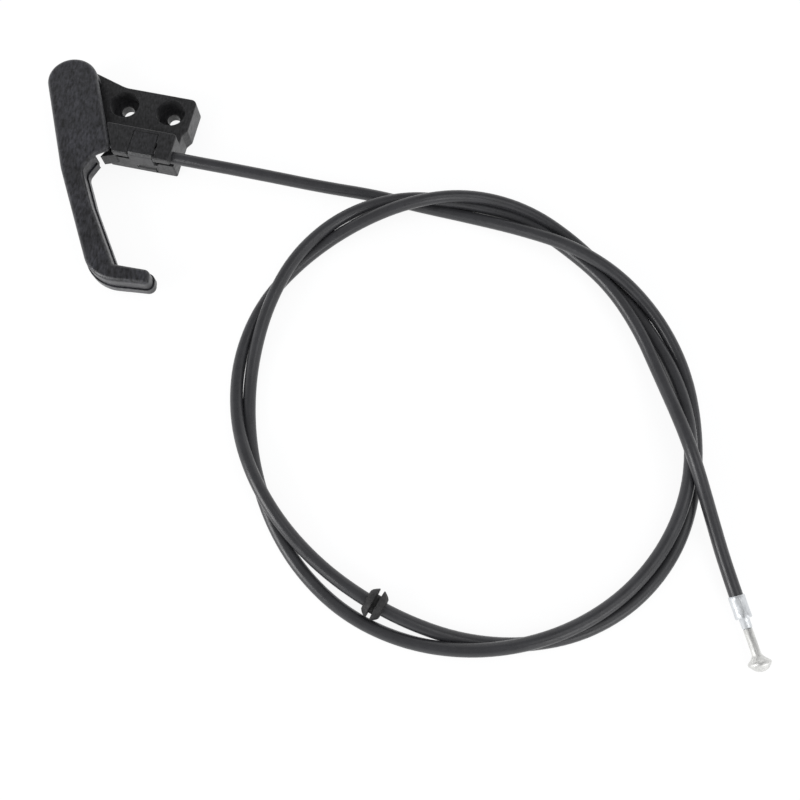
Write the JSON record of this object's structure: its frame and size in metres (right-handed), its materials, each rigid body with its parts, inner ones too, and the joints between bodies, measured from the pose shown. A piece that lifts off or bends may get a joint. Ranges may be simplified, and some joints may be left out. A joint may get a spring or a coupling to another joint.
{
  "type": "hood release handle",
  "caption": "J-shaped hood release lever on a moulded screw-down bracket, with its coiled cable in a black conduit, a panel grommet and a mushroom-headed end fitting.",
  "frame": {"origin": "midway between the two screw holes, on the bracket's back face, which sits against the panel", "axes": "+X along the screws toward the cable, +Z away from the panel, out of the screw wells"},
  "size_m": [0.384, 0.2474, 0.018],
  "materials": {
    "bracket_plastic": "fine moulded grain",
    "clip_plastic": "fine moulded grain",
    "handle_plastic": "satin moulded grain",
    "pin_steel": "bright zinc plate",
    "washer_plastic": "plain",
    "sleeve_steel": "zinc plate",
    "zinc": "bright die-cast zinc",
    "wire_steel": "stranded galvanised wire",
    "conduit_jacket": "smooth extruded jacket",
    "grommet_rubber": "moulded rubber",
    "ferrule_steel": "bright zinc plate"
  },
  "bodies": {
    "bracket": {"bracket": "bracket_plastic", "cable_clip": "clip_plastic", "conduit_end_sleeve": "sleeve_steel", "conduit_lead": "conduit_jacket", "conduit_coil": "conduit_jacket", "conduit_tail": "conduit_jacket", "grommet": "grommet_rubber", "end_ferrule": "ferrule_steel", "thrust_washer": "washer_plastic"},
    "handle": {"handle": "handle_plastic", "pivot_pin": "pin_steel", "lever_nipple": "zinc", "inner_wire_lever": "wire_steel"},
    "cable_end": {"end_fitting": "zinc", "inner_wire_end": "wire_steel"}
  },
  "joints": [
    {"name": "handle_pivot", "type": "hinge", "parent": "bracket", "child": "handle", "pos_m": [-0.039, 0.0046, 0.008], "axis": [0, 0, -1], "range_deg": [0, 45], "deforming": ["inner_wire_lever"]},
    {"name": "wire_slide", "type": "slide", "parent": "bracket", "child": "cable_end", "axis": [0.4311, -0.9023, 0], "range_m": [0, 0.02]}
  ]
}
